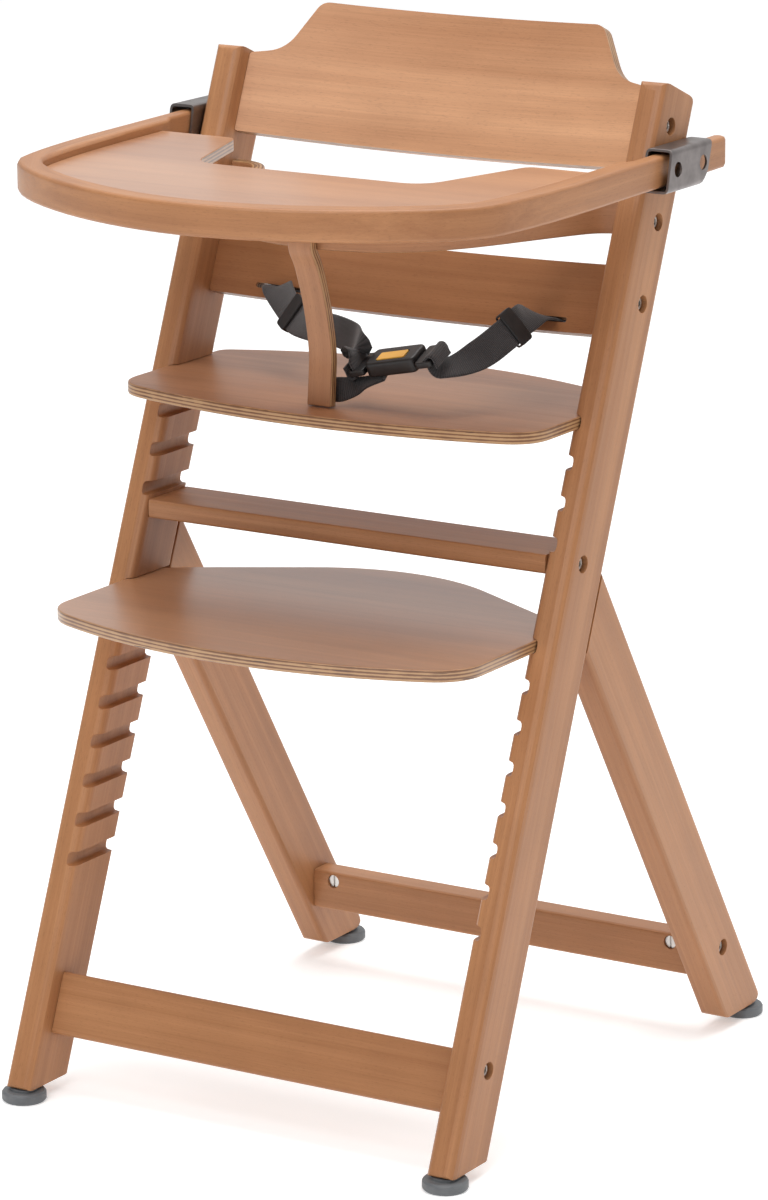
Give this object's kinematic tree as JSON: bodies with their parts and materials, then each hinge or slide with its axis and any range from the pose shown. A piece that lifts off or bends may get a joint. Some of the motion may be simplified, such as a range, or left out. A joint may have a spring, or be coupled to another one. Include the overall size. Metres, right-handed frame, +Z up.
{
  "type": "wooden high chair",
  "caption": "Wooden high chair with leaning grooved posts, adjustable seat and footplate, bent backrest, safety bow, sliding tray and buckled lap harness.",
  "frame": {"origin": "on the floor, under the middle of the bounding box", "axes": "the chair faces -Y, +X is to the right seen from the front, +Z is up"},
  "size_m": [0.424, 0.5267, 0.7753],
  "materials": {
    "beech": "satin lacquered solid beech",
    "beech_ply": "satin lacquered beech plywood",
    "bracket_steel": "zinc-plated sheet",
    "bolt_steel": "plated, smooth",
    "foot_plastic": "grey moulded",
    "black_plastic": "black moulded",
    "button_plastic": "amber moulded",
    "webbing": "charcoal ribbed webbing"
  },
  "bodies": {
    "frame": {"right_post": "beech", "left_post": "beech", "right_rear_leg": "beech", "left_rear_leg": "beech", "front_rail": "beech", "middle_rail": "beech", "rear_rail": "beech", "backrest_panel": "beech_ply", "back_slat": "beech_ply", "safety_bow": "beech_ply", "crotch_post": "beech_ply", "right_front_foot": "foot_plastic", "left_front_foot": "foot_plastic", "right_rear_foot": "foot_plastic", "left_rear_foot": "foot_plastic", "right_backrest_bolt": "bolt_steel", "left_backrest_bolt": "bolt_steel", "right_bow_bolt": "bolt_steel", "left_bow_bolt": "bolt_steel", "right_slat_bolt": "bolt_steel", "left_slat_bolt": "bolt_steel", "right_middle_rail_bolt": "bolt_steel", "left_middle_rail_bolt": "bolt_steel", "right_front_rail_bolt": "bolt_steel", "left_front_rail_bolt": "bolt_steel", "right_rear_rail_bolt": "bolt_steel", "left_rear_rail_bolt": "bolt_steel", "right_middle_rail_nut": "bolt_steel", "left_middle_rail_nut": "bolt_steel", "right_front_rail_nut": "bolt_steel", "left_front_rail_nut": "bolt_steel", "right_rear_rail_nut": "bolt_steel", "left_rear_rail_nut": "bolt_steel", "right_middle_rail_dowel": "beech", "left_middle_rail_dowel": "beech", "right_front_rail_dowel": "beech", "left_front_rail_dowel": "beech", "right_rear_rail_dowel": "beech", "left_rear_rail_dowel": "beech", "right_tray_bracket": "bracket_steel", "left_tray_bracket": "bracket_steel", "right_bracket_screw_1": "bolt_steel", "left_bracket_screw_1": "bolt_steel", "right_bracket_screw_2": "bolt_steel", "left_bracket_screw_2": "bolt_steel", "crotch_post_screw": "bolt_steel", "right_strap": "webbing", "left_strap": "webbing", "buckle_body": "black_plastic", "crotch_webbing": "webbing"},
    "tray": {"tray_rim": "beech", "tray_board": "beech_ply"},
    "seat": {"seat_plate": "beech_ply"},
    "footplate": {"foot_plate": "beech_ply"},
    "button": {"buckle_button": "button_plastic"},
    "right_tongue": {"right_tongue": "black_plastic"},
    "left_tongue": {"left_tongue": "black_plastic"},
    "right_slider": {"right_slider": "black_plastic"},
    "left_slider": {"left_slider": "black_plastic"}
  },
  "joints": [
    {"name": "tray_slide", "type": "slide", "parent": "frame", "child": "tray", "axis": [0, -0.9999, -0.014], "range_m": [-0.02, 0.085]},
    {"name": "seat_slide", "type": "slide", "parent": "frame", "child": "seat", "axis": [0, -1, 0], "range_m": [-0.04, 0.05]},
    {"name": "footplate_slide", "type": "slide", "parent": "frame", "child": "footplate", "axis": [0, -1, 0], "range_m": [0, 0.04]},
    {"name": "button_press", "type": "slide", "parent": "frame", "child": "button", "axis": [0.1954, 0.342, -0.9192], "range_m": [0, 0.002], "stiffness_N_per_m": 400, "springref_m": -0.0005},
    {"name": "right_tongue_slide", "type": "slide", "parent": "frame", "child": "right_tongue", "axis": [0.9781, 0, 0.2079], "range_m": [0, 0.016], "deforming": ["right_strap"]},
    {"name": "left_tongue_slide", "type": "slide", "parent": "frame", "child": "left_tongue", "axis": [-0.9781, 0, -0.2079], "range_m": [0, 0.006], "deforming": ["left_strap"]},
    {"name": "right_slider_slide", "type": "slide", "parent": "frame", "child": "right_slider", "axis": [-0.0784, -0.941, -0.3293], "range_m": [-0.004, 0.004]},
    {"name": "left_slider_slide", "type": "slide", "parent": "frame", "child": "left_slider", "axis": [0.7547, -0.6038, -0.2566], "range_m": [-0.005, 0.005]}
  ]
}
